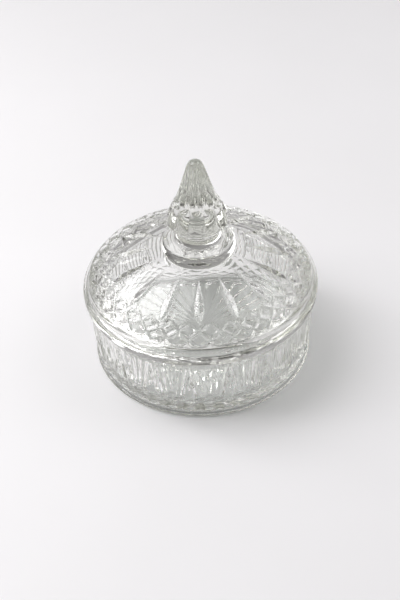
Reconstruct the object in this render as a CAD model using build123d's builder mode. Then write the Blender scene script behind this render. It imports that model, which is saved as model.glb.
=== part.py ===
"""Pressed-glass powder jar: a round bowl and a lift-off domed lid with a fluted finial.

Frame: millimetres, +Z up, origin at the centre of the foot. An angle of 0 points along +X,
and the pattern is phased from the front, which is -Y.
"""
import os
from math import atan, cos, degrees, radians, sin, tan

from build123d import *

os.makedirs("parts", exist_ok=True)

# --- driving dimensions ---
seat_height = 45.0          # top of the bowl, where the lid rests
lid_radius = 70.0
total_height = 136.9
front = -90.0               # direction of the front, degrees

# bowl
foot_radius = 65.9
mouth_radius = 67.3
wall_thickness = 5.5
floor_height = 6.0
floor_fillet = 5.0
foot_bevel = 1.5
base_recess = 1.0
recess_radius = 58.0
rim_round = 0.8

# lid
rim_height = 3.6            # straight part of the lid's outer edge
ring_radius = 60.8          # locating ring that drops inside the bowl's mouth
ring_thickness = 2.5
ring_depth = 3.5
band_outer = (64.5, 57.0)   # radius and height where the dome meets the rim's shoulder
dome_middle = (42.2, 67.8)
dome_top = (18.5, 74.8)
hollow_height = 70.0        # underside of the dome on the axis
hollow_edge = (56.0, 54.5)

# collar disc and finial
# each pair is a radius and a height on the profile
disc_widest = (21.75, 77.6)
disc_edge = (20.3, 82.2)
disc_top = (13.8, 84.5)
neck = (11.9, 87.4)
girdle_foot = (12.4, 91.3)
girdle_underside = (15.0, 92.2)
girdle_low = (17.4, 95.4)
girdle_high = (17.2, 99.4)
cone_low = (10.6, 114.5)
cone_high = (6.3, 128.5)
cone_top = (3.4, 134.8)

# pattern counts: one leaf to every second diamond, one fan to every second lattice line
leaf_count = 15
diamond_count = 30
finial_flutes = 10
fan_count = 18
lattice_count = 36
star_rays = 36
lid_turn = -2.0             # how far the lid's pattern is turned from the front, degrees
bowl_turn = 2.0

mitre_half_angle = 52.0     # half the opening angle of every V cut
cutter_overrun = 1.5        # how far a cutter stands out of the glass


def mitre_cutter(point, along, normal, length, depth):
    """A straight V cut through a point of the surface, with its bottom line parallel to along."""
    reach = depth + cutter_overrun
    half_width = reach * tan(radians(mitre_half_angle))
    section = Plane(origin=point - normal * depth, x_dir=normal.cross(along), z_dir=along)
    with BuildPart() as cutter:
        with BuildSketch(section):
            with BuildLine():
                Polyline((0, 0), (half_width, reach), (-half_width, reach), close=True)
            make_face()
        extrude(amount=length / 2, both=True)
    return cutter.part


def notch_cutter(point, along, normal, half_length, half_width, depth):
    """A leaf-shaped notch: four planes that meet at a point below the middle."""
    grow = 1 + cutter_overrun / depth
    inner_circle = half_length * half_width / (half_length**2 + half_width**2) ** 0.5
    steepness = atan(inner_circle / depth)
    outside = Plane(origin=point + normal * cutter_overrun, x_dir=along, z_dir=normal)
    with BuildPart() as cutter:
        with BuildSketch(outside):
            with BuildLine():
                Polyline(
                    (half_length * grow, 0),
                    (0, half_width * grow),
                    (-half_length * grow, 0),
                    (0, -half_width * grow),
                    close=True,
                )
            make_face()
        extrude(amount=-(depth + cutter_overrun) * 0.98, taper=degrees(steepness))
    return cutter.part


# --- bowl ---
def wall_radius(height):
    """Outer radius of the bowl's slightly tapered wall at a height."""
    return foot_radius + (mouth_radius - foot_radius) * height / seat_height


def fan_cutter(tilt):
    """One hollow rib of a fan, leaning sideways by tilt degrees, on the +X side."""
    rib_radius, rib_depth, rib_low, rib_high = 2.4, 0.7, 20.0, 42.0
    fan_root_drop = 71.5    # the ribs of a fan run towards a place this far below their middle
    middle = (rib_low + rib_high) / 2
    angle = fan_root_drop * radians(tilt) / wall_radius(middle)
    radius = wall_radius(middle) + rib_radius - rib_depth
    centre = Vector(radius * cos(angle), radius * sin(angle), middle)
    lean = Vector(0, sin(radians(tilt)), cos(radians(tilt)))
    with BuildPart() as cutter:
        with BuildSketch(Plane(origin=centre, x_dir=(1, 0, 0), z_dir=lean)):
            Circle(rib_radius)
        extrude(amount=(rib_high - rib_low) / 2, both=True)
    return cutter.part


def pip_cutter(height):
    """One small diamond notch of the columns between the fans, on the +X side."""
    surface = Vector(wall_radius(height), 0, height)
    return notch_cutter(
        surface, Vector(0, 0, 1), Vector(1, 0, 0), half_length=2.1, half_width=1.7, depth=1.0
    )


def lattice_cutter(side):
    """One slanting V cut of the crossed band round the foot, on the +X side."""
    band_middle, band_half_height, band_half_turn, cut_depth = 11.0, 8.0, 10.0, 1.4
    across = wall_radius(band_middle) * sin(radians(band_half_turn))
    along = Vector(0, side * across, band_half_height).normalized()
    length = 2 * (across**2 + band_half_height**2) ** 0.5
    return mitre_cutter(
        Vector(wall_radius(band_middle), 0, band_middle), along, Vector(1, 0, 0), length, cut_depth
    )


def ray_cutter():
    """One ray of the star under the base, on the +X side, deeper towards its outer end."""
    ray_inner, ray_outer, ray_depth = 5.0, 54.0, 1.6
    middle = Vector((ray_inner + ray_outer) / 2, 0, base_recess)
    along = Vector(ray_outer - ray_inner, 0, ray_depth).normalized()
    downward = Vector(0, -1, 0).cross(along)
    return mitre_cutter(middle, along, downward, ray_outer - ray_inner, ray_depth / 2)


with BuildPart() as bowl:
    inner_top = mouth_radius - wall_thickness
    inner_foot = inner_top - 0.8
    with BuildSketch(Plane.XZ):
        with BuildLine():
            Polyline((0, base_recess), (recess_radius, base_recess), (recess_radius + 1.5, 0))
            Line((recess_radius + 1.5, 0), (foot_radius - foot_bevel, 0))
            Line((foot_radius - foot_bevel, 0), (wall_radius(foot_bevel), foot_bevel))
            Line(
                (wall_radius(foot_bevel), foot_bevel), (mouth_radius, seat_height - rim_round)
            )
            RadiusArc(
                (mouth_radius, seat_height - rim_round),
                (mouth_radius - rim_round, seat_height),
                -rim_round,
            )
            Line((mouth_radius - rim_round, seat_height), (inner_top + rim_round, seat_height))
            RadiusArc(
                (inner_top + rim_round, seat_height), (inner_top, seat_height - rim_round), -rim_round
            )
            Line((inner_top, seat_height - rim_round), (inner_foot, floor_height + floor_fillet))
            RadiusArc(
                (inner_foot, floor_height + floor_fillet),
                (inner_foot - floor_fillet, floor_height),
                floor_fillet,
            )
            Polyline(
                (inner_foot - floor_fillet, floor_height), (0, floor_height), (0, base_recess)
            )
        make_face()
    revolve(axis=Axis.Z)

    fan_start = front + bowl_turn
    for tilt in (-8, -4, 0, 4, 8):
        with PolarLocations(0, fan_count, start_angle=fan_start):
            add(fan_cutter(tilt), mode=Mode.SUBTRACT)
    for height in (23.5, 28.5, 33.5):
        with PolarLocations(0, fan_count, start_angle=fan_start + 180 / fan_count):
            add(pip_cutter(height), mode=Mode.SUBTRACT)
    for side in (-1, 1):
        with PolarLocations(0, lattice_count, start_angle=fan_start):
            add(lattice_cutter(side), mode=Mode.SUBTRACT)
    with PolarLocations(0, star_rays, start_angle=fan_start):
        add(ray_cutter(), mode=Mode.SUBTRACT)

bowl.part.label = "bowl"
export_step(bowl.part, "parts/bowl.step")


# --- lid ---
def downhill_frame(slope):
    """Directions down a slope on the +X side and out of its surface; the slope is in degrees."""
    downhill = Vector(cos(radians(slope)), 0, -sin(radians(slope)))
    normal = Vector(sin(radians(slope)), 0, cos(radians(slope)))
    return downhill, normal


def leaf_cutter():
    """One long leaf cut of the dome, on the +X side."""
    leaf_middle = Vector(41.2, 0, 68.15)
    downhill, normal = downhill_frame(21.0)
    return notch_cutter(
        leaf_middle, downhill, normal, half_length=15.0, half_width=2.8, depth=1.8
    )


def band_cutter(side):
    """One slanting V cut of the diamond band round the dome's edge, on the +X side."""
    band_middle = Vector(61.0, 0, 58.95)
    downhill, normal = downhill_frame(28.7)
    run_downhill = 5.0
    run_sideways = band_middle.X * sin(radians(180 / diamond_count))
    along = (downhill * run_downhill + Vector(0, side * run_sideways, 0)).normalized()
    return notch_cutter(band_middle, along, normal, half_length=9.0, half_width=1.9, depth=1.3)


def finial_flute():
    """One tapered flute of the finial with a rounded lower end, on the +X side."""
    top_radius, top_depth, low_radius, low_depth = 0.9, 0.5, 3.0, 1.3
    top = Vector(3.6, 0, 133.5)
    low = Vector(11.3, 0, 112.5)
    downward = (low - top).normalized()
    outward = Vector(-downward.Z, 0, downward.X)
    top_centre = top + outward * (top_radius - top_depth)
    low_centre = low + outward * (low_radius - low_depth)
    axis_line = (low_centre - top_centre).normalized()
    length = (low_centre - top_centre).length
    with BuildPart() as cutter:
        with BuildSketch(Plane(origin=top_centre, x_dir=axis_line, z_dir=(0, -1, 0))):
            with BuildLine():
                Polyline((length, 0), (0, 0), (0, top_radius), (length, low_radius))
                RadiusArc((length, low_radius), (length + low_radius, 0), low_radius)
                Line((length + low_radius, 0), (length, 0))
            make_face()
        revolve(axis=Axis(top_centre, axis_line))
    return cutter.part


def petal_groove():
    """One round groove across the girdle, between two of its petals, on the +X side."""
    groove_radius, groove_depth = 2.2, 1.3
    low = Vector(18.9, 0, 94.0)
    high = Vector(14.3, 0, 106.0)
    upward = (high - low).normalized()
    outward = Vector(upward.Z, 0, -upward.X)
    middle = (low + high) * 0.5 + outward * (groove_radius - groove_depth)
    with BuildPart() as cutter:
        with BuildSketch(Plane(origin=middle, x_dir=(0, 1, 0), z_dir=upward)):
            Circle(groove_radius)
        extrude(amount=(high - low).length / 2, both=True)
    return cutter.part


with BuildPart() as lid:
    ring_inner = ring_radius - ring_thickness
    rim_top = seat_height + rim_height
    tip_drop = total_height - cone_top[1]
    tip_sphere = (cone_top[0] ** 2 + tip_drop**2) / (2 * tip_drop)
    with BuildSketch(Plane.XZ):
        with BuildLine():
            # underside of the dome and the locating ring
            hollow_drop = hollow_height - hollow_edge[1]
            hollow_radius = (hollow_edge[0] ** 2 + hollow_drop**2) / (2 * hollow_drop)
            RadiusArc((0, hollow_height), hollow_edge, hollow_radius)
            Line(hollow_edge, (ring_inner, hollow_edge[1] - 3.5))
            Line((ring_inner, hollow_edge[1] - 3.5), (ring_inner, seat_height - ring_depth))
            Line(
                (ring_inner, seat_height - ring_depth), (ring_radius - 0.6, seat_height - ring_depth)
            )
            Line(
                (ring_radius - 0.6, seat_height - ring_depth),
                (ring_radius, seat_height - ring_depth + 0.6),
            )
            Line((ring_radius, seat_height - ring_depth + 0.6), (ring_radius, seat_height))
            # flange that rests on the bowl, its rounded edge and the beaded shoulder
            Line((ring_radius, seat_height), (lid_radius - rim_round, seat_height))
            RadiusArc(
                (lid_radius - rim_round, seat_height), (lid_radius, seat_height + rim_round), -rim_round
            )
            Line((lid_radius, seat_height + rim_round), (lid_radius, rim_top))
            RadiusArc((lid_radius, rim_top), (lid_radius - 1.8, rim_top + 1.8), -1.8)
            RadiusArc((lid_radius - 1.8, rim_top + 1.8), (lid_radius - 2.6, rim_top + 3.2), 1.2)
            RadiusArc((lid_radius - 2.6, rim_top + 3.2), band_outer, -5.2)
            ThreePointArc(band_outer, dome_middle, dome_top)
            # collar disc
            RadiusArc(dome_top, disc_widest, -3.0)
            RadiusArc(disc_widest, disc_edge, -6.0)
            # neck, girdle and the fluted cone up to the rounded tip
            Line(disc_edge, disc_top)
            RadiusArc(disc_top, neck, 3.0)
            Polyline(neck, girdle_foot, girdle_underside, girdle_low)
            RadiusArc(girdle_low, girdle_high, -2.6)
            Polyline(girdle_high, cone_low, cone_high, cone_top)
            RadiusArc(cone_top, (0, total_height), -tip_sphere)
            Line((0, total_height), (0, hollow_height))
        make_face()
    revolve(axis=Axis.Z)

    leaf_start = front + lid_turn
    with PolarLocations(0, leaf_count, start_angle=leaf_start):
        add(leaf_cutter(), mode=Mode.SUBTRACT)
    for side in (-1, 1):
        with PolarLocations(0, diamond_count, start_angle=leaf_start + 180 / diamond_count):
            add(band_cutter(side), mode=Mode.SUBTRACT)
    with PolarLocations(0, finial_flutes, start_angle=leaf_start):
        add(finial_flute(), mode=Mode.SUBTRACT)
    with PolarLocations(0, finial_flutes, start_angle=leaf_start + 180 / finial_flutes):
        add(petal_groove(), mode=Mode.SUBTRACT)

lid.part.label = "lid"
export_step(lid.part, "parts/lid.step")
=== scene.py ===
"""Looks for the pressed-glass powder jar: two glass pieces with relief, floor, light and camera.

The depths of the cuts are chosen for the looks and several are deeper than the CAD's.
"""
from math import pi, radians

import bpy
import numpy as np
from mathutils import Matrix, Vector


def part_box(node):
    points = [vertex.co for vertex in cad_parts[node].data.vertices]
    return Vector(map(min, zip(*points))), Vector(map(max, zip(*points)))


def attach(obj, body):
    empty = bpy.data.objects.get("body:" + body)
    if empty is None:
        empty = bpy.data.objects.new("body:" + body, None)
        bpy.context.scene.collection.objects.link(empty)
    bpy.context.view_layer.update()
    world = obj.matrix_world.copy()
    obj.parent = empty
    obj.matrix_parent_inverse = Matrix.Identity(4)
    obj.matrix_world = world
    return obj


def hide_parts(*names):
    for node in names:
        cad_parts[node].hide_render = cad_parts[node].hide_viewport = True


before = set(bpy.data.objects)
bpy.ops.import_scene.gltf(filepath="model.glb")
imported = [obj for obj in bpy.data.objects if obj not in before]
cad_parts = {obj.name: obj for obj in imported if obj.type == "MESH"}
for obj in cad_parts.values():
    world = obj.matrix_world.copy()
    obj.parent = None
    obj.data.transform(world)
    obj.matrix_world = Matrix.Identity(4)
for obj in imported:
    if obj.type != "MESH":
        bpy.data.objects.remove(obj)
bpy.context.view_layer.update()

# Profiles and relief are worked out in millimetres and become metres when a mesh is made.
MM = 0.001
_, bowl_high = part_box("bowl")
lid_low, lid_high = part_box("lid")
seat = bowl_high.z / MM              # height at which the lid rests on the bowl
mouth_radius = bowl_high.x / MM
lid_radius = lid_high.x / MM
tip_height = lid_high.z / MM
ring_low = lid_low.z / MM            # lower edge of the lid's locating ring

# Pattern: counts, and how far each piece's pattern is turned from the front, in degrees
FRONT = -90.0
LID_TURN = -2.0
BOWL_TURN = 2.0
LEAVES = 15
DIAMONDS = 30
FANS = 18
LATTICE_LINES = 36
STAR_RAYS = 36
FLUTES = 10
BOWL_COLUMNS = (1152, 384, 192)      # wall, foot and star, plain glass
LID_COLUMNS = (960, 240)             # dome, plain glass


# --- curves -------------------------------------------------------------------------------------
CORNER_POINTS = 9
ARC_POINTS = 60


def resample(points, step):
    """Points at an even spacing of about step along a chain, ends kept."""
    points = np.asarray(points, float)
    lengths = np.hypot(*np.diff(points, axis=0).T)
    along = np.concatenate([[0.0], np.cumsum(lengths)])
    count = max(2, int(round(along[-1] / step)) + 1)
    even = np.linspace(0.0, along[-1], count)
    return np.stack([np.interp(even, along, points[:, k]) for k in (0, 1)], axis=1)


def rounded(corners, step):
    """A chain of (radius, height, rounding) corners, each corner rounded by a quadratic curve."""
    chain = []
    for i, (r, z, rounding) in enumerate(corners):
        corner = np.array((r, z), float)
        if rounding == 0:
            chain.append(corner)
            continue
        before = np.array(corners[i - 1][:2], float) - corner
        after = np.array(corners[i + 1][:2], float) - corner
        a = corner + before / np.hypot(*before) * rounding
        b = corner + after / np.hypot(*after) * rounding
        for t in np.linspace(0.0, 1.0, CORNER_POINTS):
            chain.append((1 - t) ** 2 * a + 2 * t * (1 - t) * corner + t**2 * b)
    return resample(chain, step)


def bulged(a, b, bulge, step):
    """A shallow arc from a to b, standing bulge to the left of the straight line at its middle."""
    a, b = np.array(a, float), np.array(b, float)
    t = np.linspace(0.0, 1.0, ARC_POINTS)[:, None]
    chord = b - a
    left = np.array((-chord[1], chord[0])) / np.hypot(*chord)
    return resample(a + chord * t + left * bulge * 4 * t * (1 - t), step)


# --- relief -------------------------------------------------------------------------------------
def smoothstep(low, high, x):
    """0 below low, 1 above high, and a smooth rise between them."""
    t = np.clip((x - low) / (high - low), 0.0, 1.0)
    return t * t * (3 - 2 * t)


def wrapped(angle, period):
    """The angle brought to within half a period of zero."""
    return (angle + period / 2) % period - period / 2


def cut(distance, half_width, depth, bottom=0.18, lip=0.12):
    """Depth of a V cut at a distance from its bottom line, with a softened bottom and lips."""
    away = np.sqrt(distance**2 + bottom**2) - bottom
    v = depth * (1 - away / half_width)
    return 0.5 * (v + np.sqrt(v**2 + lip**2)) - 0.25 * lip


def to_nearest_line(value):
    """Distance to the nearest whole number."""
    return np.abs(value - np.round(value))


# --- meshes -------------------------------------------------------------------------------------
def rings_of(points, columns, turn, relief):
    """Rows of vertices of one zone of a surface of revolution, sunk by its relief."""
    angle = np.arange(columns) * 360.0 / columns
    tangent = np.gradient(points, axis=0)
    tangent /= np.hypot(*tangent.T)[:, None]
    outward = np.stack([tangent[:, 1], -tangent[:, 0]], axis=1)
    r, z = points[:, :1], points[:, 1:]
    depth = np.zeros((len(points), columns)) + relief(r, z, angle[None, :])
    radius = r - depth * outward[:, :1]
    height = z - depth * outward[:, 1:]
    phi = np.radians(angle[None, :] + FRONT + turn)
    return np.stack([radius * np.cos(phi), radius * np.sin(phi), height + 0 * phi], axis=-1)


def join_rings(start_a, count_a, start_b, count_b):
    """Faces between two rings whose counts are equal or one a whole multiple of the other."""
    if count_a == count_b:
        j = np.arange(count_a)
        k = (j + 1) % count_a
        quads = np.stack([start_a + j, start_a + k, start_b + k, start_b + j], axis=1)
        return quads.tolist()
    faces = []
    fine_is_a = count_a > count_b
    fine, coarse = (start_a, start_b) if fine_is_a else (start_b, start_a)
    fine_count, coarse_count = max(count_a, count_b), min(count_a, count_b)
    share = fine_count // coarse_count
    for j in range(coarse_count):
        here, there = coarse + j, coarse + (j + 1) % coarse_count
        edge = [fine + (j * share + i) % fine_count for i in range(share + 1)]
        middle = share // 2
        fans = [(here, edge[i + 1], edge[i]) for i in range(middle)]
        fans += [(there, edge[i + 1], edge[i]) for i in range(middle + 1, share)]
        fans.append((here, there, edge[middle + 1], edge[middle]))
        faces += [tuple(reversed(f)) if fine_is_a else f for f in fans]
    return faces


def turned_glass(name, zones, turn):
    """A closed glass body from zones listed outwards from the axis below to the axis above."""
    vertices, faces, rings = [], [], []
    total = 0
    for points, columns, relief in zones:
        grid = rings_of(points, columns, turn, relief)
        for row, (r, _) in zip(grid, points):
            if r < 1e-6:
                row = row[:1] * (0.0, 0.0, 1.0)
            rings.append((total, len(row)))
            vertices.append(row)
            total += len(row)
    for (start_a, count_a), (start_b, count_b) in zip(rings, rings[1:]):
        if count_a == 1:
            faces += [(start_a, start_b + (j + 1) % count_b, start_b + j) for j in range(count_b)]
        elif count_b == 1:
            faces += [(start_a + j, start_a + (j + 1) % count_a, start_b) for j in range(count_a)]
        else:
            faces += join_rings(start_a, count_a, start_b, count_b)
    mesh = bpy.data.meshes.new(name)
    mesh.from_pydata(np.concatenate(vertices) * MM, [], faces)
    mesh.shade_smooth()
    mesh.update()
    piece = bpy.data.objects.new(name, mesh)
    bpy.context.scene.collection.objects.link(piece)
    return piece


def slight_waves(r, z, angle):
    """The gentle unevenness of a pressed surface, up to 0.07 mm each way."""
    a = np.radians(angle)
    slow = 0.035 * np.sin(3 * a + 0.11 * z + 0.7) + 0.025 * np.sin(7 * a - 0.17 * r + 2.1)
    return slow + 0.012 * np.sin(13 * a + 0.45 * (r + z))


# --- bowl ---------------------------------------------------------------------------------------
FOOT_RADIUS = mouth_radius - 1.4
INNER_TOP = mouth_radius - 5.5
INNER_FOOT = INNER_TOP - 0.8
FLOOR = 6.0
BASE_RECESS = 1.0
RECESS_RADIUS = 58.0
LATTICE_TOP = 19.0
LATTICE_LOW = 2.4
ROW_HEIGHT = 5.6                     # height of one diamond of the crossed band
RIB_TOP = 41.6
LATTICE_HALF_WIDTH = 4.0
LATTICE_DEPTH = 2.2
CRISP = {"bottom": 0.06, "lip": 0.04}
RIBS_PER_FAN = 5
RIB_DEPTH = 1.2
RIB_FOOT = 14.0                      # height from which the ribs of a fan spread
RIB_PITCH_LOW = 2.5
RIB_PITCH_GAIN = 2.05
SCALLOP = 1.5                        # how much lower a rib's cut ends along its deepest line
PIP_ROWS = (34.0, 29.2, 24.4)        # heights of the single pip, the pair and the three
PIP_PITCH = 3.5
PIP_HALF_WIDTH = 1.9
PIP_HALF_HEIGHT = 2.5
PIP_DEPTH = 2.0
ARCH_HALF_WIDTH = 1.3
ARCH_DEPTH = 2.2
ARCH_FADE = 39.0                     # height at which the arches start to run out
BORDER_HALF_WIDTH = 1.5
BORDER_DEPTH = 1.35
STAR_DEPTH = 1.5
STAR_RISE = (2.0, 46.0)              # radii between which the star's rays deepen
STAR_FALL = (51.0, 55.0)             # radii between which they run out


def foot_waves(r, z, angle):
    """The same waves, gone where the foot stands on the table."""
    return slight_waves(r, z, angle) * smoothstep(0.3, 2.2, z)


def star_relief(r, z, angle):
    """Pleated rays under the base, deeper towards their outer ends."""
    across = np.abs(wrapped(angle, 360.0 / STAR_RAYS)) / (180.0 / STAR_RAYS)
    soft = np.sqrt(across**2 + 0.01) - 0.1
    deep = STAR_DEPTH * smoothstep(*STAR_RISE, r) * (1 - smoothstep(*STAR_FALL, r))
    return deep * (1 - soft)


def wall_relief(r, z, angle):
    """Diamonds round the foot, fans of ribs above, and pips in arches between the fans."""
    fan = 360.0 / FANS
    across = wrapped(angle, fan)
    x = np.radians(across) * r
    half = fan / 2

    # crossed band
    rise = (z - LATTICE_TOP) / ROW_HEIGHT
    step = 360.0 / LATTICE_LINES
    steepness = 1 / np.hypot(1 / (np.radians(step) * FOOT_RADIUS), 1 / ROW_HEIGHT)
    place = across / step
    to_line = np.minimum(to_nearest_line(place + rise), to_nearest_line(place - rise))
    lattice = cut(to_line * steepness, LATTICE_HALF_WIDTH, LATTICE_DEPTH, **CRISP)
    lattice = lattice * smoothstep(LATTICE_LOW - 1.2, LATTICE_LOW + 0.6, z)

    # ribs of the fan, opening upwards
    opening = np.clip((z - RIB_FOOT) / (RIB_TOP - RIB_FOOT), 0.0, 1.0)
    pitch = RIB_PITCH_LOW + RIB_PITCH_GAIN * opening**0.9
    rib_place = x / pitch
    to_groove = np.abs(rib_place - np.floor(rib_place) - 0.5) * pitch
    ribs = RIB_DEPTH * np.abs(1 - 2 * to_groove / pitch)
    scallop = RIB_TOP - SCALLOP * (1 - 2 * to_groove / pitch) ** 2
    ribs = ribs * (1 - smoothstep(scallop - 0.9, scallop + 0.4, z))

    # pips between the fans: one, two and three diamond pits under a pointed arch
    from_side = np.radians(half - np.abs(across)) * r
    pips = np.zeros(np.broadcast(x, z).shape)
    for row, pip_height in enumerate(PIP_ROWS):
        for beside in np.arange(-row / 2, 0.1 + row / 2):
            off = np.abs(from_side - abs(beside) * PIP_PITCH)
            pit = 1 - off / PIP_HALF_WIDTH - np.abs(z - pip_height) / PIP_HALF_HEIGHT
            pips = np.maximum(pips, PIP_DEPTH * np.clip(pit, 0, 1))
    arch = np.abs(x) - RIBS_PER_FAN / 2 * pitch
    rim_of_arch = cut(np.abs(arch), ARCH_HALF_WIDTH, ARCH_DEPTH, **CRISP)
    upper = np.where(arch > 0, pips, ribs)
    upper = np.maximum(upper, rim_of_arch * (1 - smoothstep(ARCH_FADE, RIB_TOP, z)))

    # zigzag border between the crossed band and the fans
    edge = LATTICE_TOP - ROW_HEIGHT * np.abs(across) / half
    blend = smoothstep(edge - 0.3, edge + 0.3, z)
    border = cut(np.abs(z - edge) * 0.9, BORDER_HALF_WIDTH, BORDER_DEPTH)
    return np.maximum(lattice * (1 - blend) + upper * blend, border) + slight_waves(r, z, angle)


def make_bowl():
    wall_columns, foot_columns, plain_columns = BOWL_COLUMNS
    under = rounded([(0, BASE_RECESS, 0), (RECESS_RADIUS - 2.0, BASE_RECESS, 0)], 1.6)
    foot = rounded(
        [
            (RECESS_RADIUS - 1.5, BASE_RECESS, 0),
            (RECESS_RADIUS, BASE_RECESS, 0.5),
            (RECESS_RADIUS + 1.4, 0, 0.8),
            (FOOT_RADIUS - 1.5, 0, 0.9),
            (FOOT_RADIUS + 0.05, 1.6, 0),
        ],
        0.7,
    )
    wall = resample([(FOOT_RADIUS + 0.07, 2.2), (mouth_radius - 0.02, seat - 1.7)], 0.05)
    lattice_wall = resample(wall[wall[:, 1] < LATTICE_TOP + 1.0], 0.66)
    fan_wall = resample(wall[wall[:, 1] >= LATTICE_TOP + 1.0], 0.86)
    rim = rounded(
        [
            (mouth_radius, seat - 1.3, 0),
            (mouth_radius, seat - 0.12, 0.9),
            (INNER_TOP, seat - 0.12, 1.1),
            (INNER_TOP, seat - 2.0, 0),
        ],
        0.45,
    )
    inside = rounded(
        [(INNER_TOP, seat - 3.0, 0), (INNER_FOOT, FLOOR, 6.5), (0, FLOOR, 0)],
        2.4,
    )
    zones = [
        (under, foot_columns, star_relief),
        (foot, foot_columns, foot_waves),
        (lattice_wall, wall_columns, wall_relief),
        (fan_wall, wall_columns, wall_relief),
        (rim, plain_columns, slight_waves),
        (inside, plain_columns, slight_waves),
    ]
    return turned_glass("bowl_glass", zones, BOWL_TURN)


# --- lid ----------------------------------------------------------------------------------------
RING_OUTER = 60.8
RING_INNER = 58.3
BAND_OUTER = (65.7, seat + 10.9)
DOME_TOP = (18.5, seat + 29.8)
HOLLOW_TOP = seat + 25.0
BAND_CROSSING = 61.3                 # radius at which the crossed cuts of the band meet
BAND_REACH = 4.5                     # radial distance from one crossing to the next
BAND_HALF_WIDTH = 1.7
BAND_DEPTH = 1.5
BAND_DEEPENS = (52.0, 58.5)          # radii between which the band's cuts reach full depth
BAND_FADES = ((51.5, 52.8), (63.8, 64.9))   # its inner and outer ends
LEAF_INNER = 26.5
LEAF_OUTER = 53.5
LEAF_HALF_WIDTH = 2.6
LEAF_DEPTH = 1.7
RIPPLE_HEIGHT = 0.004
RIPPLE_PITCH = 1.7
RIPPLE_FADE = (30.0, 44.0)
FLUTE_END = 112.0                    # height of the flutes' lower end, at their edges
FLUTE_ARCH = 3.4                     # how much lower it lies at their middle
FLUTE_SHARE = 0.20                   # depth of a flute as a share of the radius
FLUTE_FADE = (133.0, 137.0)
GIRDLE = 97.0
PETAL_DEPTH = 1.8
BAND_EDGE = 51.0                     # radii that split the dome into zones of their own spacing
CROWN_EDGE = 25.0


def leaf_relief(r, z, angle):
    """Long leaf cuts that run down the dome, widest past their middle."""
    along = np.clip((r - LEAF_INNER) / (LEAF_OUTER - LEAF_INNER), 0.0, 1.0)
    swell = np.sin(pi * along**1.8) ** 0.8
    half_width = 0.05 + LEAF_HALF_WIDTH * swell
    across = np.radians(np.abs(wrapped(angle, 360.0 / LEAVES))) * r
    return cut(across, half_width, LEAF_DEPTH * swell, bottom=0.1, lip=0.04) * (swell > 0.01)


def band_relief(r, z, angle):
    """Crossed cuts round the dome's edge: a row of diamonds with half diamonds outside them."""
    step = 360.0 / DIAMONDS
    place = (angle - step / 2) / step
    rise = (r - BAND_CROSSING) / (2 * BAND_REACH)
    steepness = 1 / np.hypot(1 / (np.radians(step) * r), 1 / (2.2 * BAND_REACH))
    to_line = np.minimum(to_nearest_line(place + rise), to_nearest_line(place - rise))
    deep = 0.3 + 0.7 * smoothstep(*BAND_DEEPENS, r)
    crossed = cut(to_line * steepness, BAND_HALF_WIDTH, BAND_DEPTH * deep, bottom=0.06, lip=0.05)
    inner_end, outer_end = BAND_FADES
    return crossed * smoothstep(*inner_end, r) * (1 - smoothstep(*outer_end, r))


def dome_relief(r, z, angle):
    """Leaves and band, with very faint ripples near the dome's top."""
    a = np.radians(angle)
    chill = RIPPLE_HEIGHT * np.sin(2 * pi * r / RIPPLE_PITCH + 1.6 * np.sin(2 * a + 0.6))
    chill = chill * (1 - smoothstep(*RIPPLE_FADE, r))
    pattern = np.maximum(leaf_relief(r, z, angle), band_relief(r, z, angle))
    return pattern + chill + slight_waves(r, z, angle)


def finial_relief(r, z, angle):
    """Hollow flutes down the cone, and rounded petals round the girdle below them."""
    half = 180.0 / FLUTES
    across = np.abs(wrapped(angle, 2 * half)) / half
    scoop = 1 - across**2.2
    flute_end = FLUTE_END - FLUTE_ARCH * np.sqrt(np.clip(1 - across**2, 0, 1))
    flutes = FLUTE_SHARE * r * scoop * smoothstep(flute_end - 0.8, flute_end + 1.6, z)
    flutes = flutes * (1 - smoothstep(*FLUTE_FADE, z))
    petals = PETAL_DEPTH * across**2 * smoothstep(GIRDLE - 5.0, GIRDLE + 1.0, z)
    petals = petals * (1 - smoothstep(flute_end - 2.5, flute_end + 0.3, z))
    return flutes + petals


def no_relief(r, z, angle):
    """A smooth surface, for the lid's edge and locating ring."""
    return 0.0


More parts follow.
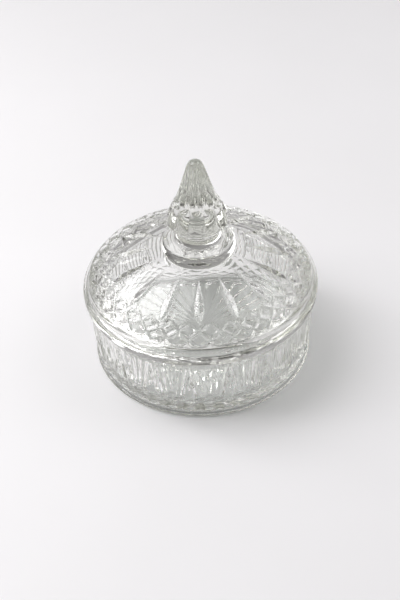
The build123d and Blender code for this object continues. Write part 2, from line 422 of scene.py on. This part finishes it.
def make_lid():
    dome_columns, plain_columns = LID_COLUMNS
    hollow = rounded(
        [(0, HOLLOW_TOP, 0), (30.0, HOLLOW_TOP - 0.6, 22.0), (RING_INNER - 1.6, seat + 8.6, 0)],
        2.6,
    )
    ring = rounded(
        [
            (RING_INNER - 1.2, seat + 8.1, 0),
            (RING_INNER, seat + 6.2, 1.0),
            (RING_INNER, ring_low, 0.6),
            (RING_OUTER, ring_low, 0.7),
            (RING_OUTER, seat, 0.6),
            (lid_radius, seat + 0.8, 0.9),
            (lid_radius, seat + 2.0, 0),
        ],
        0.7,
    )
    rim = rounded(
        [
            (lid_radius, seat + 2.3, 0),
            (lid_radius, seat + 5.4, 1.7),
            (lid_radius - 2.4, seat + 5.9, 0.5),
            (lid_radius - 2.8, seat + 7.0, 0.5),
            (lid_radius - 3.1, seat + 9.6, 1.8),
            BAND_OUTER + (0,),
        ],
        0.45,
    )
    dome = bulged(BAND_OUTER, DOME_TOP, -2.0, 0.05)[1:]
    radius = dome[:, 0]
    band = resample(dome[radius > BAND_EDGE], 0.6)
    leaves = resample(dome[(radius <= BAND_EDGE) & (radius > CROWN_EDGE)], 1.3)
    crown = resample(dome[radius <= CROWN_EDGE], 1.0)[1:]
    # collar disc, neck, girdle and cone
    knop = rounded(
        [
            (DOME_TOP[0] - 0.2, DOME_TOP[1] + 0.15, 0),
            (21.0, 75.2, 0.8),
            (21.75, 77.5, 1.8),
            (20.9, 82.4, 1.5),
            (13.0, 84.8, 2.2),
            (11.8, 87.6, 1.2),
            (12.2, 91.4, 1.0),
            (15.0, 92.0, 1.4),
            (18.3, GIRDLE - 1.0, 2.0),
            (17.6, GIRDLE + 2.6, 2.0),
            (10.6, 114.5, 6.0),
            (6.3, 128.5, 5.0),
            (3.9, tip_height - 0.6, 3.2),
            (0, tip_height, 0),
        ],
        0.7,
    )
    zones = [
        (hollow, plain_columns, slight_waves),
        (ring, plain_columns, no_relief),
        (rim, plain_columns, no_relief),
        (band, dome_columns, dome_relief),
        (leaves, dome_columns, dome_relief),
        (crown, plain_columns, dome_relief),
        (knop, plain_columns, finial_relief),
    ]
    return turned_glass("lid_glass", zones, LID_TURN)


# --- materials ----------------------------------------------------------------------------------
GLASS_INDEX = 1.52
GLASS_BODY = (0.71, 0.72, 0.64, 1.0)
GLASS_DENSITY = 13.0
SURFACE_TINT = ((0.985, 0.99, 0.985), (1.0, 1.0, 1.0))
LIGHT_PASSED = ((0.965, 0.97, 0.965), (0.60, 0.61, 0.60))   # face on, edge on


def range_to(nodes, low, high):
    """A vector Map Range node from 0 and 1 to two colours, with its input and output."""
    node = nodes.new("ShaderNodeMapRange")
    node.data_type = "FLOAT_VECTOR"
    node.inputs[9].default_value = low
    node.inputs[10].default_value = high
    return node.inputs[6], node.outputs[1]


def glass_material(name, wave_scale):
    """Clear pressed glass: faint green-grey body colour, slightly uneven polish.

    Lamps shine through it by a shadow-ray transparency that stands in for refracted light.
    """
    material = bpy.data.materials.new(name)
    material.use_nodes = True
    nodes, links = material.node_tree.nodes, material.node_tree.links
    shader = nodes["Principled BSDF"]
    shader.inputs["Transmission Weight"].default_value = 1.0
    shader.inputs["IOR"].default_value = GLASS_INDEX
    place = nodes.new("ShaderNodeTexCoord")

    smears = nodes.new("ShaderNodeTexNoise")
    smears.inputs["Scale"].default_value = 26.0
    smears.inputs["Detail"].default_value = 5.0
    polish = nodes.new("ShaderNodeMapRange")
    polish.inputs["From Min"].default_value = 0.45
    polish.inputs["From Max"].default_value = 0.75
    polish.inputs["To Min"].default_value = 0.0
    polish.inputs["To Max"].default_value = 0.045
    links.new(place.outputs["Object"], smears.inputs["Vector"])
    links.new(smears.outputs["Fac"], polish.inputs["Value"])
    links.new(polish.outputs["Result"], shader.inputs["Roughness"])

    smear_in, tint = range_to(nodes, *SURFACE_TINT)
    links.new(smears.outputs["Fac"], smear_in)
    links.new(tint, shader.inputs["Base Color"])

    waves = nodes.new("ShaderNodeTexNoise")
    waves.inputs["Scale"].default_value = wave_scale
    waves.inputs["Detail"].default_value = 2.0
    bump = nodes.new("ShaderNodeBump")
    bump.inputs["Strength"].default_value = 0.15
    bump.inputs["Distance"].default_value = 0.00025
    links.new(place.outputs["Object"], waves.inputs["Vector"])
    links.new(waves.outputs["Fac"], bump.inputs["Height"])
    links.new(bump.outputs["Normal"], shader.inputs["Normal"])

    body = nodes.new("ShaderNodeVolumeAbsorption")
    body.inputs["Color"].default_value = GLASS_BODY
    body.inputs["Density"].default_value = GLASS_DENSITY
    links.new(body.outputs["Volume"], nodes["Material Output"].inputs["Volume"])

    # light on its way to the table passes through, least where it grazes the wall
    edge_on = nodes.new("ShaderNodeLayerWeight")
    edge_on.inputs["Blend"].default_value = 0.35
    facing_in, passed = range_to(nodes, *LIGHT_PASSED)
    links.new(edge_on.outputs["Facing"], facing_in)
    light_through = nodes.new("ShaderNodeBsdfTransparent")
    links.new(passed, light_through.inputs["Color"])
    path = nodes.new("ShaderNodeLightPath")
    glass = nodes.new("ShaderNodeMixShader")
    links.new(path.outputs["Is Shadow Ray"], glass.inputs[0])
    links.new(shader.outputs[0], glass.inputs[1])
    links.new(light_through.outputs[0], glass.inputs[2])
    links.new(glass.outputs[0], nodes["Material Output"].inputs["Surface"])
    return material


def floor_material():
    """A pale, matt table with a faint speckle."""
    material = bpy.data.materials.new("pale_table")
    material.use_nodes = True
    nodes, links = material.node_tree.nodes, material.node_tree.links
    shader = nodes["Principled BSDF"]
    shader.inputs["Roughness"].default_value = 0.55
    place = nodes.new("ShaderNodeTexCoord")
    speckle = nodes.new("ShaderNodeTexNoise")
    speckle.inputs["Scale"].default_value = 9.0
    speckle.inputs["Detail"].default_value = 6.0
    ramp = nodes.new("ShaderNodeValToRGB")
    ramp.color_ramp.elements[0].color = (0.80, 0.79, 0.80, 1)
    ramp.color_ramp.elements[1].color = (0.84, 0.83, 0.845, 1)
    links.new(place.outputs["Object"], speckle.inputs["Vector"])
    links.new(speckle.outputs["Fac"], ramp.inputs["Fac"])
    links.new(ramp.outputs["Color"], shader.inputs["Base Color"])
    return material


# --- the pieces ---------------------------------------------------------------------------------
bowl = make_bowl()
bowl.data.materials.append(glass_material("bowl_clear_glass", 60.0))
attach(bowl, "jar")
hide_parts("bowl")

lid = make_lid()
lid.data.materials.append(glass_material("lid_clear_glass", 70.0))
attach(lid, "cover")
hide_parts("lid")

# --- stage --------------------------------------------------------------------------------------
FLOOR_HALF = 6.0                     # metres
BRIGHT_SIDE = (-0.50, 0.80, 0.40)    # direction of the room's bright part
HORIZON = (0.32, 0.31, 0.32)
HORIZON_TOP = (0.17, 0.36)           # sine of the elevation over which the horizon fades
DIM_ROOM = (0.022, 0.018, 0.016)
BRIGHT_ROOM = (0.38, 0.37, 0.38)
LAMPS_AIM = Vector((0, 0, 0.05))
SKY_FROM = Vector((-0.5, 0.25, 0.9))

floor_mesh = bpy.data.meshes.new("floor")
floor_mesh.from_pydata(
    [(x * FLOOR_HALF, y * FLOOR_HALF, 0.0) for x, y in ((-1, -1), (1, -1), (1, 1), (-1, 1))],
    [],
    [(0, 1, 2, 3)],
)
floor_mesh.materials.append(floor_material())
floor = bpy.data.objects.new("floor", floor_mesh)
bpy.context.scene.collection.objects.link(floor)


def studio_world():
    """A pale band round the horizon that continues the floor, and a room above it.

    The room is brighter at the back left.
    """
    world = bpy.data.worlds.new("studio")
    bpy.context.scene.world = world
    world.use_nodes = True
    nodes, links = world.node_tree.nodes, world.node_tree.links
    place = nodes.new("ShaderNodeTexCoord")

    side = nodes.new("ShaderNodeVectorMath")
    side.operation = "DOT_PRODUCT"
    side.inputs[1].default_value = Vector(BRIGHT_SIDE).normalized()
    room = nodes.new("ShaderNodeMapRange")
    room.data_type = "FLOAT_VECTOR"
    room.interpolation_type = "SMOOTHSTEP"
    links.new(place.outputs["Generated"], side.inputs[0])
    links.new(side.outputs["Value"], room.inputs["Vector"])
    ranges = ((0.1,) * 3, (0.95,) * 3, DIM_ROOM, BRIGHT_ROOM)
    for socket, value in zip(room.inputs[7:11], ranges):
        socket.default_value = value

    height = nodes.new("ShaderNodeSeparateXYZ")
    above = nodes.new("ShaderNodeMapRange")
    above.inputs["From Min"].default_value, above.inputs["From Max"].default_value = HORIZON_TOP
    blend = nodes.new("ShaderNodeMix")
    blend.data_type = "RGBA"
    blend.inputs["A"].default_value = HORIZON + (1,)
    links.new(place.outputs["Generated"], height.inputs[0])
    links.new(height.outputs["Z"], above.inputs["Value"])
    links.new(above.outputs["Result"], blend.inputs["Factor"])
    links.new(room.outputs["Vector"], blend.inputs["B"])
    links.new(blend.outputs["Result"], nodes["Background"].inputs["Color"])


def soft_light(name, place, size, power, tint=(1, 1, 1)):
    """A large rectangular lamp aimed at the jar."""
    light = bpy.data.lights.new(name, "AREA")
    light.shape = "RECTANGLE"
    light.size, light.size_y = size
    light.energy = power
    light.color = tint
    lamp = bpy.data.objects.new(name, light)
    lamp.location = place
    lamp.rotation_euler = (LAMPS_AIM - Vector(place)).to_track_quat("-Z", "Y").to_euler()
    bpy.context.scene.collection.objects.link(lamp)


def sky_light():
    """Even light from high on the left, so the table stays pale far from the jar."""
    data = bpy.data.lights.new("sky_light", "SUN")
    data.energy = 1.2
    data.angle = radians(50)
    sky = bpy.data.objects.new("sky_light", data)
    bpy.context.collection.objects.link(sky)
    sky.rotation_euler = SKY_FROM.to_track_quat("Z", "Y").to_euler()


studio_world()
soft_light("window_front_pane", (-0.80, -0.02, 0.50), (0.20, 0.55), 1.35, (1.0, 0.99, 0.98))
soft_light("window_back_pane", (-0.72, 0.36, 0.50), (0.20, 0.55), 1.35, (1.0, 0.99, 0.98))
soft_light("overhead", (-0.60, 0.08, 0.90), (0.60, 0.60), 4.6)
soft_light("fill", (0.85, 0.1, 0.95), (0.8, 0.8), 4.4)
sky_light()

# --- camera -------------------------------------------------------------------------------------
TARGET = Vector((0, 0, 50.0 * MM))
LENS = 75.0                          # assumed; the photo hardly tells one lens from another
CAMERA_ELEVATION = 40.99             # fitted for this lens, degrees above the target
CAMERA_DISTANCE = 0.7467             # fitted for this lens, metres
AIM_DOWN = 0.96                      # the lens axis passes this far below the target, degrees
AIM_LEFT = 0.08
ROLL = -2.71

camera_data = bpy.data.cameras.new("camera")
camera_data.lens = LENS
camera_data.sensor_width = 36.0
camera = bpy.data.objects.new("camera", camera_data)
tilt = radians(90 - CAMERA_ELEVATION)
camera.location = TARGET + Matrix.Rotation(tilt, 3, "X") @ Vector((0, 0, CAMERA_DISTANCE))
turn_left = Matrix.Rotation(radians(AIM_LEFT), 4, "Z")
tilt_down = Matrix.Rotation(tilt - radians(AIM_DOWN), 4, "X")
roll = Matrix.Rotation(radians(ROLL), 4, "Z")
camera.matrix_world = Matrix.Translation(camera.location) @ turn_left @ tilt_down @ roll
scene = bpy.context.scene
scene.collection.objects.link(camera)
scene.camera = camera
scene.view_settings.view_transform = "Standard"

# light paths: enough bounces for the nested glass walls
scene.cycles.max_bounces = 32
scene.cycles.transparent_max_bounces = 24
scene.cycles.caustics_refractive = False
scene.cycles.glossy_bounces = 16
scene.cycles.transmission_bounces = 24
